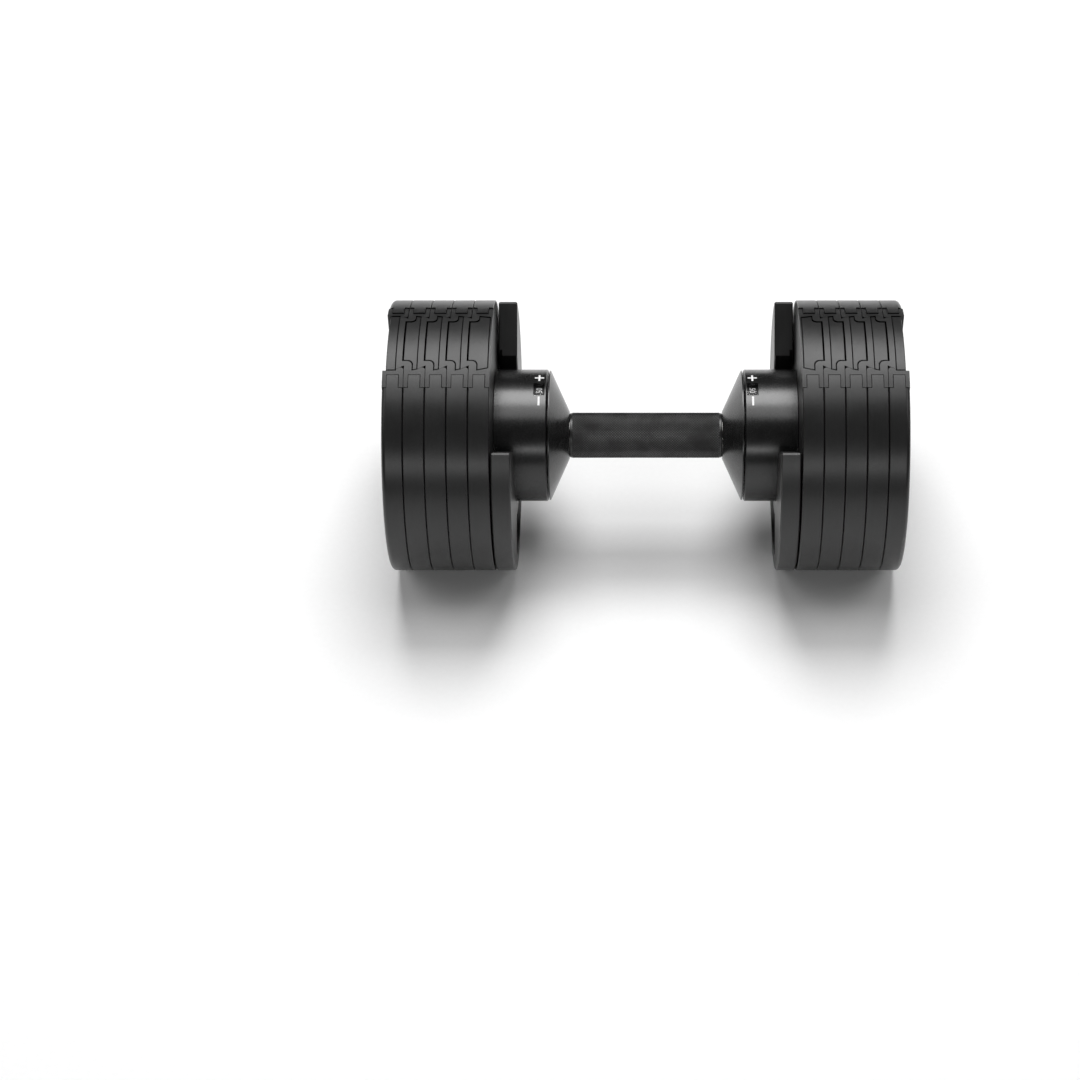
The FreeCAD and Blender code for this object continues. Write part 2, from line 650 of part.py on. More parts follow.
def grip_cone():
    """The flared collar between grip and drum, with a hub for the dial."""
    flare = cone(("dim.cone_in", "dim.cone_lip"), ("dim.cone_small", "dim.cone_large"))
    lip = disc(("dim.cone_lip", "dim.cone_out"), "dim.cone_large")
    hub = disc(("dim.cone_out", "dim.hub_end"), "dim.hub_radius")
    return cut(fuse(flare, lip, hub),
               disc(("dim.cone_in - 1", "dim.hub_end + 1"), "dim.sleeve_bore"))


def dial_ring():
    """The numbered band, its web, and the ring of notches behind it."""
    band = cut(disc(("dim.dial_in", "dim.dial_web_out"), "dim.dial_radius"),
               disc(("dim.dial_in - 1", "dim.dial_web_in"), "dim.dial_radius - dim.dial_band"),
               disc(("dim.dial_in", "dim.dial_web_out + 1"), "dim.sleeve_bore"))
    ring = cut(disc(("dim.dial_web_out", "dim.dial_out"), "dim.dial_radius"),
               disc(("dim.dial_web_out - 1", "dim.dial_out + 1"), "dim.notch_circle"))
    notches = []
    for number in range(NOTCHES):
        notch = doc.addObject("Part::Box", "notch")
        turn = Rotation(Vector(1, 0, 0), 360.0 * number / NOTCHES)
        corner = Vector(size_of("dial_web_out"), -size_of("notch_half"), -size_of("notch_root"))
        notch.Placement = Placement(turn.multVec(corner), turn)
        bind(notch, {"Length": "dim.dial_out - dim.dial_web_out + 1",
                     "Width": "2 * dim.notch_half", "Height": "8"})
        notches.append(notch)
    return fuse(band, cut(ring, *notches))


def cam_slot():
    """The space that a follower pin sweeps in the turning cam sleeve, and a little past its ends."""
    spiral = doc.addObject("Part::Helix", "spiral")
    spiral.LocalCoord = "Left-handed"
    bind(spiral, {"Pitch": "dim.cam_lead", "Height": "dim.rod_stroke + 2 * dim.cam_overrun",
                  "Radius": "dim.cam_radius"})
    section = doc.addObject("Part::Plane", "slot_section")
    section.Placement.Rotation = Rotation(Vector(1, 0, 0), 90)
    bind(section, {"Length": "dim.cam_radius - dim.cam_bore + 2", "Width": "dim.cam_slot_length",
                   "Placement.Base.x": "dim.cam_bore - 1",
                   "Placement.Base.z": "-dim.cam_slot_length / 2"})
    slot = doc.addObject("Part::Sweep", "cam_slot")
    slot.Sections = [section]
    slot.Spine = (spiral, ["Edge1"])
    slot.Solid = True
    slot.Frenet = True
    lead_in = 360 * size_of("cam_overrun") / size_of("cam_lead")
    start = Rotation(Vector(0, 0, 1), size_of("cam_start_angle") + lead_in)
    slot.Placement = Placement(Vector(0, 0, 0), CYCLE.multiply(start))
    bind(slot, {"Placement.Base.x": "dim.pin_out - dim.rod_stroke - dim.cam_overrun"})
    return slot


def cam_slot_end(x, turn):
    """The round end of a helical slot, at an angle round the bar from straight down."""
    reach = "(dim.cam_radius + 1)"
    post = doc.addObject("Part::Cylinder", "slot_end")
    post.Placement.Rotation = Rotation(Vector(1, 0, 0), turn)
    return bind(post, {
        "Radius": "dim.slot_half", "Height": "dim.cam_radius - dim.cam_bore + 2",
        "Placement.Base.x": x,
        "Placement.Base.y": f"{reach} * sin({turn} deg)",
        "Placement.Base.z": f"-{reach} * cos({turn} deg)",
    })


def cam_sleeve():
    """The tube that turns with the grip and drives both lock rods."""
    blank = disc(("-dim.cam_end", "dim.cam_end"), "dim.cam_radius")
    bore = disc(("-dim.cam_end - 1", "dim.cam_end + 1"), "dim.cam_bore")
    seats = [disc(("dim.bush_in", "dim.cam_end + 1"), "dim.bush_radius"),
             disc(("-dim.cam_end - 1", "-dim.bush_in"), "dim.bush_radius")]
    inner_turn = size_of("cam_start_angle") + 90
    slot = [cam_slot(), cam_slot_end("dim.pin_out", 0),
            cam_slot_end("dim.pin_out - dim.rod_stroke", inner_turn)]
    return cut(blank, bore, *seats, *slot, *[mirrored(piece) for piece in slot])


def bush():
    return cut(disc(("dim.bush_in", "dim.cam_end"), "dim.bush_radius"),
               disc(("dim.bush_in - 1", "dim.cam_end + 1"), "dim.bush_bore"))


add_node(grip_sleeve(), "grip_sleeve")
add_node(cam_sleeve(), "cam_sleeve")
add_pair(grip_cone(), "grip_cone")
add_pair(dial_ring(), "dial_ring")
add_pair(bush(), "bush")

# ---- core tube and lock rods -------------------------------------------------------------


def core_slot():
    """The straight slot that keeps a follower pin from turning."""
    low, high = "dim.pin_out - dim.rod_stroke", "dim.pin_out"
    depth = ("-dim.core_radius - 1", "-dim.core_bore + 2")
    return fuse(box((low, high), ("-dim.slot_half", "dim.slot_half"), depth),
                upright(low, "dim.slot_half", depth), upright(high, "dim.slot_half", depth))


def core_tube():
    """The fixed tube between the two drums, which the rods slide in."""
    blank = disc(("-dim.core_end", "dim.core_end"), "dim.core_radius")
    bore = disc(("-dim.core_end - 1", "dim.core_end + 1"), "dim.core_bore")
    slot = core_slot()
    return cut(blank, bore, slot, mirrored(slot))


def lock_rod():
    """The rod that carries the plates it reaches."""
    blank = chamfered(disc(("dim.rod_in", "dim.rod_tip"), "dim.rod_radius"), "rod_chamfer",
                      lambda e: all_flat_at(e, "X", size_of("rod_tip")))
    return cut(blank, upright("dim.pin_out", "dim.pin_radius + dim.seat_gap",
                              ("-dim.rod_radius - 1", "-dim.pin_root")))


def follower_pin():
    """The pin in the rod's cross hole, drawn from its tip upwards."""
    return upright("0", "dim.pin_radius", ("0", "dim.pin_reach - dim.pin_root"))


add_node(core_tube(), "core_tube")
add_pair(lock_rod(), "lock_rod")
add_pair(follower_pin(), "follower_pin", "dim.pin_out", "-dim.pin_reach")

# ---- lock plungers -----------------------------------------------------------------------
# Drawn pressed in, as the cradle holds them; a spring drops them 3 mm when lifted.


def lock_plunger():
    """A stem through the drum's underside, with an arm and a tooth for the notched ring."""
    stem = wide_box(("dim.stem_in", "dim.stem_out"), "dim.stem_half",
                    ("-dim.stem_drop", "-dim.stem_top"))
    arm = wide_box(("dim.tooth_in", "dim.stem_in"), "dim.tooth_half",
                   ("-dim.arm_drop", "-dim.stem_top"))
    tooth = wide_box(("dim.tooth_in", "dim.tooth_out"), "dim.tooth_half",
                     ("-dim.tooth_drop", "-dim.arm_drop"))
    return fuse(stem, arm, tooth)


def plunger_spring():
    """The sleeve that a coil spring fills, between the shelf and the top of the plunger."""
    middle = "(dim.stem_in + dim.stem_out) / 2"
    height = ("dim.spring_gap - dim.stem_top", "-dim.shelf_drop - dim.spring_gap")
    return cut(upright(middle, "dim.spring_radius + dim.spring_wire", height),
               upright(middle, "dim.spring_radius - dim.spring_wire", height))


add_pair(lock_plunger(), "lock_plunger")
add_pair(plunger_spring(), "plunger_spring")

# ---- check and write ---------------------------------------------------------------------

doc.recompute()
for item in doc.Objects:
    if "Invalid" in item.State or "Error" in item.State:
        raise RuntimeError(f"{item.Name} failed: {item.State}")
for label, piece in nodes.items():
    if piece.Shape.isNull() or not piece.Shape.isValid():
        raise RuntimeError(f"{label} has no valid shape")
    if not piece.Shape.Solids:
        raise RuntimeError(f"{label} has no solid")

os.makedirs("parts", exist_ok=True)
for label, piece in nodes.items():
    piece.Shape.exportStep(f"parts/{label}.step")
print(f"{len(nodes)} sub-parts written")
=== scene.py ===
import math

import bmesh
import bpy
import numpy as np
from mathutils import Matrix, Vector


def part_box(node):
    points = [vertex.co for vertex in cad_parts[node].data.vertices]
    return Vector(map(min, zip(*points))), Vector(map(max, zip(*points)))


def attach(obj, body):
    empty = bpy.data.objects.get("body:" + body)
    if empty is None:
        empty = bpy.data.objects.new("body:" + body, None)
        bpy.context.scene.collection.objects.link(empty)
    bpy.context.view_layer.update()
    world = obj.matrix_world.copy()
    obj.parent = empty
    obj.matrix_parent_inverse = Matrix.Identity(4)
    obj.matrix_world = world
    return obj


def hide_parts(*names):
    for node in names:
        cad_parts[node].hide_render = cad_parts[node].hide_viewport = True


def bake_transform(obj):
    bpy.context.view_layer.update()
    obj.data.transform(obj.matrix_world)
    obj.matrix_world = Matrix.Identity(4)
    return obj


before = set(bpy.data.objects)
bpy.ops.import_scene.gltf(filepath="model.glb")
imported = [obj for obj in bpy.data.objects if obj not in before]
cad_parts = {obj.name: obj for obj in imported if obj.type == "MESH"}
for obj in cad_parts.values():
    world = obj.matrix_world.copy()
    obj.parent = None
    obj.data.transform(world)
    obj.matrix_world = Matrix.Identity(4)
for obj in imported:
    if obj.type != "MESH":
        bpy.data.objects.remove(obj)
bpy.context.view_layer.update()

# Adjustable dumbbell: the bar lies along X, the user stands on the -Y side, the floor is
# at Z = 0. Angles round the bar go from +Y, through +Z, to the front. Sizes in metres.

MM = 0.001
DEG = math.pi / 180
scene = bpy.context.scene
grip_low, grip_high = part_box("grip_sleeve")
AXIS_Z = (grip_low.z + grip_high.z) / 2
GRIP_R = (grip_high.z - grip_low.z) / 2
plate_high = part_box("right_weight_plate_1")[1]
inner_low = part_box("right_weight_plate_5")[0]
PLATE_R = plate_high.z - AXIS_Z
PANEL_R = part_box("right_core_panel_3")[1].z - AXIS_Z
SHELL_R = PANEL_R + 0.4 * MM           # a panel's top is this far below its shell's
# where the painted shade in the stack's seams starts, ends and fades in
SEAM_SHADE_FROM = inner_low.x + 1.0 * MM     # the painted seam shade ends short of the stack's two faces
SEAM_SHADE_TO = plate_high.x - 4.0 * MM
SEAM_SHADE_FADE = 0.15 * MM

# ---- shader writing --------------------------------------------------------------------------


class Value:
    """One output socket. Arithmetic on it adds Math nodes."""

    def __init__(self, finish, socket):
        self.finish, self.socket = finish, socket

    def _math(self, operation, *parts):
        made = self.finish.node("ShaderNodeMath", {"operation": operation}, *parts)
        return made.out(0)

    def __add__(self, other):
        return self._math("ADD", self, other)

    def __radd__(self, other):
        return self._math("ADD", other, self)

    def __sub__(self, other):
        return self._math("SUBTRACT", self, other)

    def __rsub__(self, other):
        return self._math("SUBTRACT", other, self)

    def __mul__(self, other):
        return self._math("MULTIPLY", self, other)

    def __rmul__(self, other):
        return self._math("MULTIPLY", other, self)

    def __abs__(self):
        return self._math("ABSOLUTE", self)


class Made:
    """A node that has been added, with its outputs by name or number."""

    def __init__(self, finish, node):
        self.finish, self.made = finish, node

    def out(self, key=0):
        return Value(self.finish, self.made.outputs[key])


class Finish:
    """A material with one Principled shader and what is worked out for it."""

    def __init__(self, name, **constants):
        self.material = bpy.data.materials.new(name)
        self.material.use_nodes = True
        self.tree = self.material.node_tree
        self.shader = self.tree.nodes["Principled BSDF"]
        for key, value in constants.items():
            self.shader.inputs[key.replace("_", " ")].default_value = value
        self.place = self.node("ShaderNodeTexCoord", {}).out("Object")

    def node(self, kind, settings, *ordered, **named):
        """Add a node: its settings first, then the values or links of its sockets."""
        node = self.tree.nodes.new(kind)
        for key, value in settings.items():
            setattr(node, key, value)
        worded = [(key.replace("_", " "), value) for key, value in named.items()]
        for key, value in [*enumerate(ordered), *worded]:
            self.feed(node.inputs[key], value)
        return Made(self, node)

    def feed(self, socket, value):
        if isinstance(value, Value):
            self.tree.links.new(value.socket, socket)
        elif value is not None:
            socket.default_value = value

    def noise(self, scale, detail=2.0, rough=0.5, at=None):
        """Noise with its number of features per metre."""
        made = self.node("ShaderNodeTexNoise", {}, Vector=at or self.place, Scale=scale,
                         Detail=detail, Roughness=rough)
        return made.out("Fac")

    def stretched(self, scale):
        """The surface point with each coordinate scaled."""
        return self.node("ShaderNodeVectorMath", {"operation": "MULTIPLY"},
                         self.place, scale).out(0)

    def blend(self, share, first, second):
        """A colour between two others."""
        made = self.node("ShaderNodeMix", {"data_type": "RGBA"})
        self.feed(made.made.inputs["Factor"], share)
        self.feed(made.made.inputs[6], first)
        self.feed(made.made.inputs[7], second)
        return Value(self, made.made.outputs[2])

    def clamp(self, value, low, high):
        """A value brought from the range low..high to 0..1, smoothly."""
        made = self.node("ShaderNodeMapRange", {"interpolation_type": "SMOOTHSTEP"},
                         value, low, high)
        return made.out(0)

    def bump(self, height, distance, strength=1.0):
        """A bump by a height of 0 to 1 over a distance in metres."""
        made = self.node("ShaderNodeBump", {}, Strength=strength, Distance=distance,
                         Height=height)
        self.feed(self.shader.inputs["Normal"], made.out("Normal"))

    def from_bar(self):
        """The distance of the surface point from the bar's axis."""
        across = self.node("ShaderNodeVectorMath", {"operation": "MULTIPLY_ADD"},
                           self.place, (0.0, 1.0, 1.0), (0.0, 0.0, -AXIS_Z)).out(0)
        return self.node("ShaderNodeVectorMath", {"operation": "LENGTH"}, across).out("Value")

    def black_seams(self, rim, depth):
        """Painted shade: turn the walls of the stack's seams black and dull, from a depth below
        the rim, where shade falls in the gaps.
        """
        along = abs(self.node("ShaderNodeSeparateXYZ", {}, self.place).out("X"))
        deep = self.clamp(rim - self.from_bar(), depth, depth + SEAM_SHADE_FADE)
        past_inner = self.clamp(along, SEAM_SHADE_FROM, SEAM_SHADE_FROM + MM)
        past_outer = self.clamp(along, SEAM_SHADE_TO, SEAM_SHADE_TO + MM)
        # painted shade: a near-black, dull, non-specular shader mixed in on the seam walls
        # stands in for the shade in the gaps
        seam_shade_bsdf = self.node("ShaderNodeBsdfPrincipled", {}).made
        seam_shade_bsdf.inputs["Base Color"].default_value = grey(0.0015)
        seam_shade_bsdf.inputs["Roughness"].default_value = 0.95
        seam_shade_bsdf.inputs["Specular IOR Level"].default_value = 0.0
        mix = self.node("ShaderNodeMixShader", {}, deep * (past_inner - past_outer)).made
        self.tree.links.new(self.shader.outputs[0], mix.inputs[1])
        self.tree.links.new(seam_shade_bsdf.outputs[0], mix.inputs[2])
        surface = self.tree.nodes["Material Output"].inputs["Surface"]
        self.tree.links.new(mix.outputs[0], surface)

    def set(self, **values):
        for key, value in values.items():
            self.feed(self.shader.inputs[key.replace("_", " ")], value)
        return self


def grey(level):
    return (level, level, level, 1.0)


def powder_coat(name, low, high, rough):
    """Satin powder coat: fine and broad orange peel, with faint clouds and streaks of tone."""
    coat = Finish(name, IOR=1.5, Specular_IOR_Level=0.5)
    cloud = coat.noise(26.0, 4.0, 0.6)
    peel_fine = coat.noise(1500.0, 2.0, 0.55)
    peel_broad = coat.noise(420.0, 3.0, 0.6)
    streak = coat.noise(1.0, 3.0, 0.6, at=coat.stretched((900.0, 60.0, 60.0)))
    tone = 0.6 * cloud + 0.4 * streak
    coat.set(Base_Color=coat.blend(coat.clamp(tone, 0.3, 0.7), grey(low), grey(high)),
             Roughness=rough - 0.06 + 0.12 * cloud + 0.06 * (peel_fine - 0.5))
    coat.bump(0.55 * peel_fine + 0.45 * peel_broad, 0.06 * MM, 0.75)
    return coat


def moulded(name, low, high, rough, gloss, grain=2100.0, depth=0.04 * MM):
    """Moulded plastic: a spark-eroded grain, faint flow lines and slight changes of gloss."""
    plastic = Finish(name, IOR=1.5, Specular_IOR_Level=gloss)
    cells = plastic.node("ShaderNodeTexVoronoi", {"feature": "F1"}, Vector=plastic.place,
                         Scale=grain).out("Distance")
    flow = plastic.noise(1.0, 3.0, 0.55, at=plastic.stretched((90.0, 260.0, 40.0)))
    cloud = plastic.noise(60.0, 3.0, 0.6)
    tone = plastic.clamp(0.5 * flow + 0.5 * cloud, 0.32, 0.68)
    plastic.set(Base_Color=plastic.blend(tone, grey(low), grey(high)),
                Roughness=rough + 0.1 * (cloud - 0.5) + 0.06 * (cells - 0.5))
    plastic.bump(0.7 * cells + 0.3 * plastic.noise(600.0, 2.0), depth, 0.8)
    return plastic


def turned_metal(name, dark, light, rough):
    """Turned or drawn bare metal: fine rings round the bar and a little tarnish."""
    metal = Finish(name, Metallic=1.0)
    rings = metal.noise(1.0, 4.0, 0.7, at=metal.stretched((5200.0, 40.0, 40.0)))
    stain = metal.noise(120.0, 4.0, 0.65)
    metal.set(Base_Color=metal.blend(metal.clamp(stain, 0.35, 0.7), light, dark),
              Roughness=rough - 0.07 + 0.1 * rings + 0.1 * stain)
    metal.bump(rings, 0.02 * MM, 0.6)
    return metal


plate_coat = powder_coat("plate_powder_coat", 0.006, 0.011, 0.33)
saddle_coat = powder_coat("saddle_powder_coat", 0.009, 0.014, 0.36)
rail_plastic = moulded("rail_nylon", 0.010, 0.017, 0.42, 0.45)
panel_plastic = moulded("panel_nylon", 0.008, 0.014, 0.40, 0.42, grain=2600.0)
drum_plastic = moulded("drum_satin_plastic", 0.004, 0.007, 0.26, 0.55,
                       grain=3400.0, depth=0.014 * MM)
cone_plastic = moulded("cone_satin_plastic", 0.004, 0.007, 0.26, 0.55,
                       grain=3400.0, depth=0.012 * MM)
dial_plastic = moulded("dial_matt_plastic", 0.005, 0.009, 0.55, 0.4)
plunger_plastic = moulded("plunger_acetal", 0.30, 0.36, 0.42, 0.9)
rod_steel = turned_metal("rod_bright_steel", (0.42, 0.41, 0.40, 1.0),
                         (0.62, 0.61, 0.60, 1.0), 0.27)
bolt_steel = turned_metal("bolt_black_oxide", (0.05, 0.05, 0.052, 1.0),
                          (0.11, 0.11, 0.115, 1.0), 0.38)
spring_steel = turned_metal("spring_wire_steel", (0.34, 0.34, 0.35, 1.0),
                            (0.52, 0.52, 0.53, 1.0), 0.3)
bronze = turned_metal("bush_bronze", (0.40, 0.23, 0.10, 1.0), (0.62, 0.40, 0.18, 1.0), 0.34)
# painted shade in the seams between the plates, rail shells and core panels
plate_coat.black_seams(PLATE_R, 0.7 * MM)
rail_plastic.black_seams(SHELL_R, 0.25 * MM)
panel_plastic.black_seams(PANEL_R, 0.5 * MM)


def knurl_finish():
    """Black oxide on knurled steel: the tips are rubbed a little brighter than the grooves."""
    steel = Finish("knurled_black_steel", IOR=1.5)
    tip = steel.clamp(steel.from_bar(), 16.22 * MM, 16.50 * MM)
    rub = steel.noise(55.0, 4.0, 0.6)
    wear = tip * steel.clamp(rub, 0.35, 0.75)
    steel.set(Base_Color=steel.blend(wear, grey(0.006), grey(0.20)),
              Metallic=0.7 * wear,
              Roughness=0.34 - 0.12 * wear + 0.08 * (steel.noise(900.0, 2.0) - 0.5))
    steel.bump(steel.noise(2600.0, 2.0), 0.02 * MM, 0.7)
    return steel


def lens_finish():
    """The clear lens: nearly invisible, with a gloss and a faint grey film."""
    lens = Finish("window_clear_lens", IOR=1.49, Roughness=0.06)
    film = lens.noise(140.0, 3.0, 0.6)
    lens.set(Base_Color=lens.blend(film, grey(0.012), grey(0.03)),
             Alpha=0.06 + 0.06 * film)
    return lens


def ink_finish(name, level):
    """Printed ink: even, with slight wear and a fine edge grain."""
    ink = Finish(name, Roughness=0.45, IOR=1.5)
    speck = ink.noise(1400.0, 3.0, 0.6)
    ink.set(Base_Color=ink.blend(ink.clamp(speck, 0.2, 0.55), grey(level * 0.78), grey(level)))
    ink.bump(speck, 0.01 * MM, 0.6)
    return ink


knurl_steel = knurl_finish()
lens_clear = lens_finish()
white_ink = ink_finish("mark_white_ink", 0.86)
number_ink = ink_finish("number_white_ink", 0.92)

NODE_FINISH = {
    "weight_plate": plate_coat, "rail_shell": rail_plastic, "core_panel": panel_plastic,
    "saddle_plate": saddle_coat, "saddle_bolts": bolt_steel, "drum": drum_plastic,
    "drum_end": drum_plastic, "drum_screws": bolt_steel, "dial_window": lens_clear,
    "plunger_spring": spring_steel, "grip_cone": cone_plastic, "dial_ring": dial_plastic,
    "bush": bronze, "lock_rod": rod_steel, "follower_pin": rod_steel,
    "lock_plunger": plunger_plastic, "grip_sleeve": knurl_steel, "cam_sleeve": rod_steel,
    "core_tube": rod_steel,
}


def kind_of(node):
    """The name of a node without its side and its number."""
    words = [w for w in node.split("_") if w not in ("left", "right") and not w.isdigit()]
    return "_".join(words)


for node_name, node_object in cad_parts.items():
    node_object.data.materials.clear()
    node_object.data.materials.append(NODE_FINISH[kind_of(node_name)].material)

# ---- mesh writing ----------------------------------------------------------------------------


def make_piece(name, points, faces, finish, smooth=False):
    """A mesh object at the origin from an array of points and a list of faces."""
    mesh = bpy.data.meshes.new(name)
    mesh.from_pydata(points.reshape(-1, 3).tolist(), [], faces)
    mesh.polygons.foreach_set("use_smooth", np.full(len(mesh.polygons), smooth))
    mesh.materials.append(finish.material)
    mesh.validate()
    mesh.update()
    piece = bpy.data.objects.new(name, mesh)
    scene.collection.objects.link(piece)
    return piece


def round_bar(x, angle, radius):
    """Points at X, and at an angle and a radius about the bar's axis."""
    return np.stack([x + 0 * angle, radius * np.cos(angle) + 0 * x,
                     AXIS_Z + radius * np.sin(angle) + 0 * x], axis=-1)


def grid_faces(rows, columns, wrap_rows=False, wrap_columns=False):
    """Four-sided faces of a grid of points, row by row, closed along either way."""
    i = np.arange(rows if wrap_rows else rows - 1)
    j = np.arange(columns if wrap_columns else columns - 1)
    i, j = np.meshgrid(i, j, indexing="ij")
    i2, j2 = (i + 1) % rows, (j + 1) % columns
    return np.stack([i * columns + j, i2 * columns + j, i2 * columns + j2, i * columns + j2],
                    axis=-1).reshape(-1, 4)


KNURL_PITCH = 1.9 * MM


def knurled_grip():
    """A closed tube along the bar. Its outside is a grid in (x, angle) with half a knurl pitch
    between lines; a grid point is a groove crossing where row plus column is even and the tip
    of a diamond where it is odd, and the first and last lines have no tips. The bore and both
    ends are more rows of the same grid. Known fault: its faces wind inwards."""
    half = grip_high.x
    bore, chamfer, depth, margin = 13.55 * MM, 0.6 * MM, 0.32 * MM, 1.6 * MM
    around = 2 * round(2 * math.pi * GRIP_R / KNURL_PITCH)
    along = 2 * round(2 * (half - margin) / KNURL_PITCH) + 1
    x = np.linspace(-half + margin, half - margin, along)[:, None]
    turn = (np.arange(around) * 2 * math.pi / around)[None, :]
    odd = (np.arange(along)[:, None] + np.arange(around)[None, :]) % 2
    inside = np.ones((along, 1))
    inside[[0, -1]] = 0.0
    outer = round_bar(x, turn, GRIP_R - depth + depth * odd * inside)
    neck = GRIP_R - depth
    end_rows = [(half - 0.5 * margin, neck), (half - chamfer, neck), (half, neck - chamfer),
                (half, bore)]
    right = [round_bar(np.array([[ex]]), turn, er) for ex, er in end_rows]
    left = [round_bar(np.array([[-ex]]), turn, er) for ex, er in end_rows[::-1]]
    points = np.concatenate([*left, outer, *right], axis=0)
    rows, columns = points.shape[:2]
    faces = grid_faces(rows, columns, wrap_rows=True, wrap_columns=True)
    corner = faces[:, 0] // columns + faces[:, 0] % columns - len(left)
    even = (corner % 2 == 0)[:, None]
    split = np.where(even, faces[:, [0, 1, 2, 0, 2, 3]], faces[:, [1, 2, 3, 1, 3, 0]])
    return make_piece("knurled_grip_sleeve", points, split.reshape(-1, 3).tolist(), knurl_steel)


grip = knurled_grip()
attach(grip, "grip")
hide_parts("grip_sleeve")


def coil(name, node, side):
    """A closed wire along a helix about an upright line: the wire's centre goes round at the
    coil radius while it rises, slowly for the first and last turn, and a circle of the wire's
    radius is carried square to it. It stretches from the frame to its plunger."""
    low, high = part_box(node)
    centre = (low + high) / 2
    wire, turns, steps, ring = 0.34 * MM, 6, 192, 10
    radius = (high.x - low.x) / 2 - wire
    share = np.linspace(0.0, 1.0, steps)
    flat, ease = 0.11, 0.35        # share of the wire in a closed end turn, and its run-out
    rise = np.clip((share - flat) / (1 - 2 * flat), 0, 1)
    lift = rise * rise * (3 - 2 * rise) * ease + rise * (1 - ease)
    end_turns = (np.minimum(share, flat) + np.maximum(share - 1 + flat, 0)) / flat * wire
    z = low.z + wire + end_turns + lift * (high.z - low.z - 4 * wire)
    turn = side * 2 * math.pi * turns * share
    path = np.stack([centre.x + radius * np.cos(turn),
                     centre.y + radius * np.sin(turn), z], axis=-1)
    tangent = np.gradient(path, axis=0)
    tangent /= np.linalg.norm(tangent, axis=1, keepdims=True)
    outward = np.stack([np.cos(turn), np.sin(turn), 0 * turn], axis=-1)
    third = np.cross(tangent, outward)
    third /= np.linalg.norm(third, axis=1, keepdims=True)
    spin = (np.arange(ring) * 2 * math.pi / ring)[None, :, None]
    around = np.cos(spin) * outward[:, None] - np.sin(spin) * third[:, None]
    tube = path[:, None] + wire * around
    points = np.concatenate([path[:1], tube.reshape(-1, 3), path[-1:]])
    faces = (grid_faces(steps, ring, wrap_columns=True) + 1).tolist()
    last = 1 + (steps - 1) * ring
    for k in range(ring):
        faces.append([0, 1 + k, 1 + (k + 1) % ring])
        faces.append([len(points) - 1, last + (k + 1) % ring, last + k])
    piece = make_piece(name, points, faces, spring_steel, smooth=True)
    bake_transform(piece)
    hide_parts(node)


coil("left_plunger_coil", "left_plunger_spring", 1)
coil("right_plunger_coil", "right_plunger_spring", -1)

# ---- printed marks ---------------------------------------------------------------------------


def raised_print(name, angles, xs, mask):
    """A thin closed print on the drum. The mask says which cells of a grid of angles and X
    places are filled; each filled cell has a top just above the drum's surface and a base just
    below it, and a wall stands wherever its neighbour is empty."""
    angle, x = np.meshgrid(angles, xs, indexing="ij")
    base, top = (round_bar(x, angle, DRUM_R + lift) for lift in (PRINT_BASE, PRINT_TOP))
    rows, columns = angle.shape
    points = np.concatenate([base.reshape(-1, 3), top.reshape(-1, 3)])
    up = rows * columns
    i, j = np.nonzero(mask)
    a, b = i * columns + j, (i + 1) * columns + j
    c, d = b + 1, a + 1
    faces = [np.stack([a, b, c, d], 1)[:, ::-1], np.stack([a, b, c, d], 1) + up]
    padded = np.pad(mask, 1)
    for down, right, start, stop in ((-1, 0, d, a), (1, 0, b, c), (0, -1, a, b), (0, 1, c, d)):
        edge = ~padded[1 + i + down, 1 + j + right]
        start, stop = start[edge], stop[edge]
        faces.append(np.stack([start, stop, stop + up, start + up], 1))
    piece = make_piece(name, points, np.concatenate(faces).tolist(), white_ink)
    close_mesh(piece.data)
    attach(piece, "frame")


def close_mesh(mesh):
    """Drop unused points and work out the normals again. Known fault: text has its faces and
    sides as separate sheets, and they aren't joined first, so some of them face inwards."""
    shell = bmesh.new()
    shell.from_mesh(mesh)
    loose = [v for v in shell.verts if not v.link_faces]
    bmesh.ops.delete(shell, geom=loose, context="VERTS")
    bmesh.ops.recalc_face_normals(shell, faces=shell.faces)
    shell.to_mesh(mesh)
    shell.free()
    mesh.update()


DRUM_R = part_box("right_drum")[1].z - AXIS_Z
window_low, window_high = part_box("right_dial_window")
MARK_X = (window_low.x + window_high.x) / 2
PRINT_BASE, PRINT_TOP = -0.10 * MM, 0.06 * MM
STROKE = 0.7 * MM                      # half width of a sign's stroke round the drum
PLUS_TURN, PLUS_LONG = 74.6 * DEG, 4.0 * MM / DRUM_R
PLUS_SPAN, PLUS_THICK = 3.3 * MM, 0.8 * MM / DRUM_R
MINUS_FROM, MINUS_TO = 98.6 * DEG, 107.6 * DEG


def lines(low, high):
    """Angles from low to high, close enough together for the print to follow the drum."""
    step = 0.012
    return np.linspace(low, high, max(2, math.ceil((high - low) / step) + 1))


def plus_mark(side, word):
    """A plus sign: a stroke round the drum and a bar along it, that cross at their middles."""
    middle = side * MARK_X
    stops = [PLUS_TURN + turn for turn in (-PLUS_LONG, -PLUS_THICK, PLUS_THICK, PLUS_LONG)]
    spans = [lines(low, high) for low, high in zip(stops, stops[1:])]
    angles = np.unique(np.round(np.concatenate(spans), 9))
    xs = middle + np.array([-PLUS_SPAN, -STROKE, STROKE, PLUS_SPAN])
    cell_angle = (angles[1:] + angles[:-1]) / 2
    mask = np.tile(abs(cell_angle - PLUS_TURN)[:, None] < PLUS_THICK, (1, 3))
    mask[:, 1] = True
    raised_print(f"{word}_plus_mark", angles, xs, mask)


def minus_mark(side, word):
    """A minus sign: one stroke round the drum."""
    angles = lines(MINUS_FROM, MINUS_TO)
    xs = side * MARK_X + np.array([-STROKE, STROKE])
    raised_print(f"{word}_minus_mark", angles, xs, np.ones((len(angles) - 1, 1), bool))


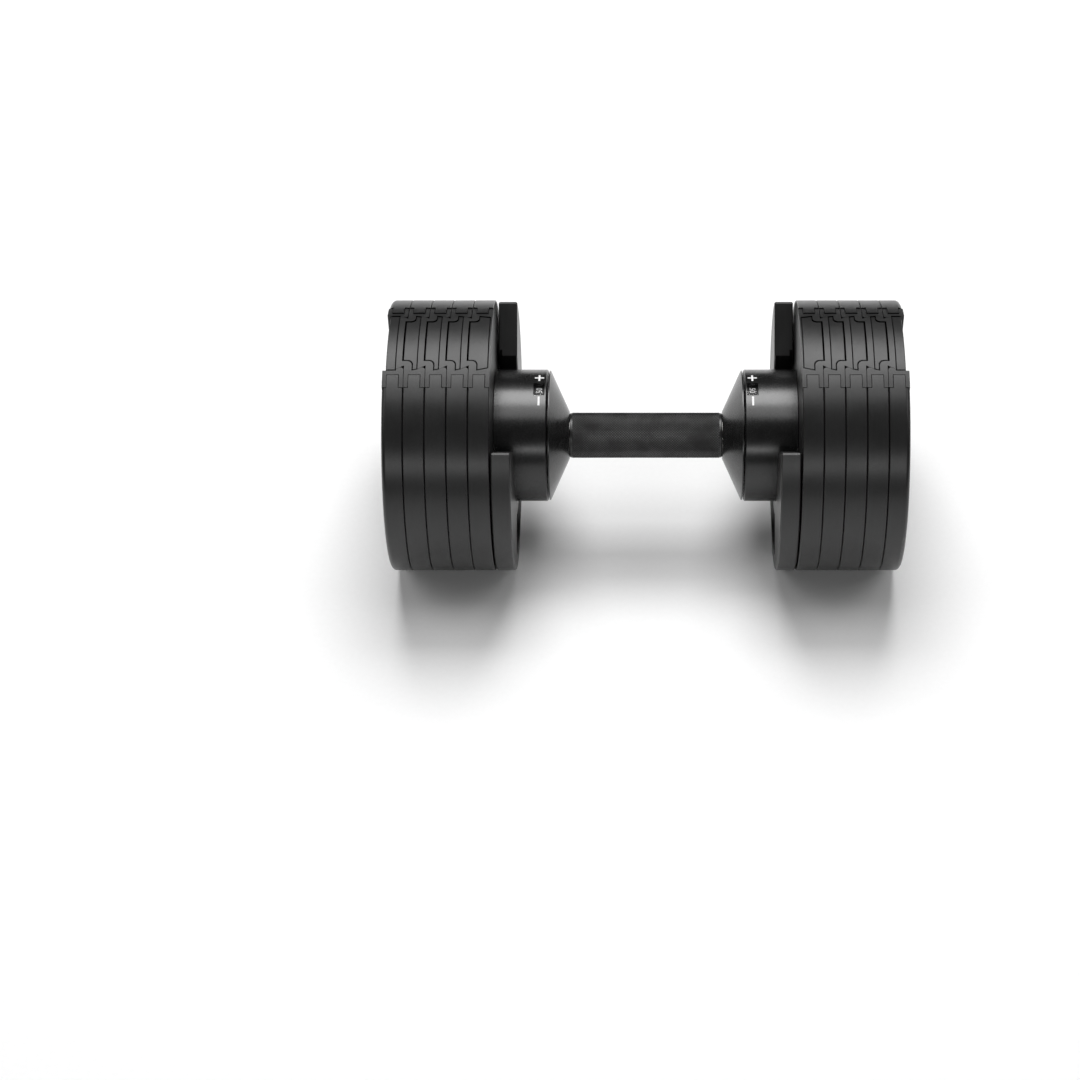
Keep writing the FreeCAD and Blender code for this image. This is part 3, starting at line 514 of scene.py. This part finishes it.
DIAL_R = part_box("right_dial_ring")[1].z - AXIS_Z
NUMBER_TURN = 86.9 * DEG               # where the number shown in the window sits
NUMBER_SIZE = 6.6 * MM
NUMBER_LONG, NUMBER_HIGH = 0.86, 0.90  # stretch along and across the reading direction
NUMBER_THICK, NUMBER_BOLD = 0.05 * MM, 0.02 * MM
NUMBER_LIFT = 0.02 * MM                # middle of the print above the dial band
CLICK = 36 * DEG
WEIGHTS = range(50, 0, -5)


def number_print(value, turn, side, word):
    """A number as flat text made into a mesh, then wrapped on the dial band: its reading
    direction goes round the bar, its height goes along the bar, its depth goes outwards."""
    text = bpy.data.curves.new(f"{word}_text_{value}", "FONT")
    text.body = str(value)
    text.size = NUMBER_SIZE
    text.extrude = NUMBER_THICK
    text.offset = NUMBER_BOLD
    text.resolution_u = 4
    text.align_x = "CENTER"
    text.align_y = "CENTER"
    holder = bpy.data.objects.new("text_holder", text)
    scene.collection.objects.link(holder)
    bpy.context.view_layer.update()
    graph = bpy.context.evaluated_depsgraph_get()
    mesh = bpy.data.meshes.new_from_object(holder.evaluated_get(graph))
    bpy.data.objects.remove(holder)
    flat = np.zeros(len(mesh.vertices) * 3)
    mesh.vertices.foreach_get("co", flat)
    flat = flat.reshape(-1, 3)
    middle = (flat.min(0) + flat.max(0)) / 2
    read, rise, out = (flat - middle).T
    angle = turn + side * read * NUMBER_LONG / DIAL_R
    x = side * (MARK_X + rise * NUMBER_HIGH)
    wrapped = round_bar(x, angle, DIAL_R + NUMBER_LIFT + out)
    mesh.vertices.foreach_set("co", wrapped.ravel())
    mesh.materials.clear()
    mesh.materials.append(number_ink.material)
    close_mesh(mesh)
    piece = bpy.data.objects.new(f"{word}_dial_number_{value}", mesh)
    scene.collection.objects.link(piece)
    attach(piece, "grip")


for side, word in ((1, "right"), (-1, "left")):
    plus_mark(side, word)
    minus_mark(side, word)
    for click, weight in enumerate(WEIGHTS):
        number_print(weight, NUMBER_TURN + click * CLICK, side, word)

# ---- floor, light and camera ------------------------------------------------------------------


def floor():
    """A sheet of white paper just under the object, which fades out far from it."""
    mesh = bpy.data.meshes.new("floor")
    reach, drop = 6.0, 0.1 * MM
    signs = ((-1, -1), (1, -1), (1, 1), (-1, 1))
    corners = [(reach * across, reach * back, -drop) for across, back in signs]
    mesh.from_pydata(corners, [], [(0, 1, 2, 3)])
    paper = Finish("floor_paper", Roughness=0.9, Specular_IOR_Level=0.1)
    fibre = paper.noise(300.0, 3.0)
    away = paper.node("ShaderNodeVectorMath", {"operation": "LENGTH"}, paper.place).out("Value")
    paper.set(Base_Color=paper.blend(fibre, grey(0.91), grey(0.95)),
              Alpha=1.0 - paper.clamp(away, 0.9, 1.7))
    mesh.materials.append(paper.material)
    sheet = bpy.data.objects.new("floor", mesh)
    scene.collection.objects.link(sheet)


def softbox(name, elevation, azimuth, distance, size, strength):
    """A soft area light aimed at the grip, at an elevation and at an azimuth from +Y."""
    data = bpy.data.lights.new(name, "AREA")
    data.shape = "RECTANGLE"
    data.size, data.size_y = size
    data.energy = strength
    lamp = bpy.data.objects.new(name, data)
    up, round_z = elevation * DEG, azimuth * DEG
    level = math.cos(up)
    away = Vector((math.sin(round_z) * level, math.cos(round_z) * level, math.sin(up)))
    lamp.location = Vector((0, 0, AXIS_Z)) + away * distance
    lamp.rotation_mode = "QUATERNION"
    lamp.rotation_quaternion = away.to_track_quat("Z", "Y")
    lamp.visible_camera = False
    scene.collection.objects.link(lamp)


def ambient(level):
    """An even grey studio, which shows as white paper behind the floor."""
    world = bpy.data.worlds.new("studio")
    scene.world = world
    world.use_nodes = True
    nodes, links = world.node_tree.nodes, world.node_tree.links
    fill, paper = nodes["Background"], nodes.new("ShaderNodeBackground")
    fill.inputs["Color"].default_value = grey(level)
    paper.inputs["Color"].default_value = grey(1.0)
    ray, mix = nodes.new("ShaderNodeLightPath"), nodes.new("ShaderNodeMixShader")
    links.new(ray.outputs["Is Camera Ray"], mix.inputs[0])
    links.new(fill.outputs[0], mix.inputs[1])
    links.new(paper.outputs[0], mix.inputs[2])
    links.new(mix.outputs[0], nodes["World Output"].inputs["Surface"])


floor()
ambient(0.075)
softbox("key_softbox", 65.0, 0.0, 2.6, (1.5, 1.4), 60.0)
softbox("top_softbox", 93.0, 0.0, 2.6, (1.3, 1.0), 12.0)
softbox("left_softbox", 45.0, -90.0, 2.6, (1.6, 1.6), 13.0)
softbox("right_softbox", 45.0, 90.0, 2.6, (1.6, 1.6), 13.0)
softbox("front_strip", 21.0, 180.0, 3.0, (2.6, 0.34), 14.0)

CAMERA_TILT = 46.0 * DEG
CAMERA_DISTANCE = 1.97
camera_data = bpy.data.cameras.new("camera")
camera_data.sensor_width = 36.0
camera_data.lens = 90.3
camera_data.shift_x = -0.098
camera_data.shift_y = -0.097
camera = bpy.data.objects.new("camera", camera_data)
back = Vector((0.0, -math.cos(CAMERA_TILT), math.sin(CAMERA_TILT)))
camera.location = Vector((0.0, 0.0, AXIS_Z)) + back * CAMERA_DISTANCE
camera.rotation_mode = "QUATERNION"
camera.rotation_quaternion = back.to_track_quat("Z", "Y")
scene.collection.objects.link(camera)
scene.camera = camera
scene.view_settings.view_transform = "Standard"

# ---- end --------------------------------------------------------------------------------------

bpy.context.view_layer.update()
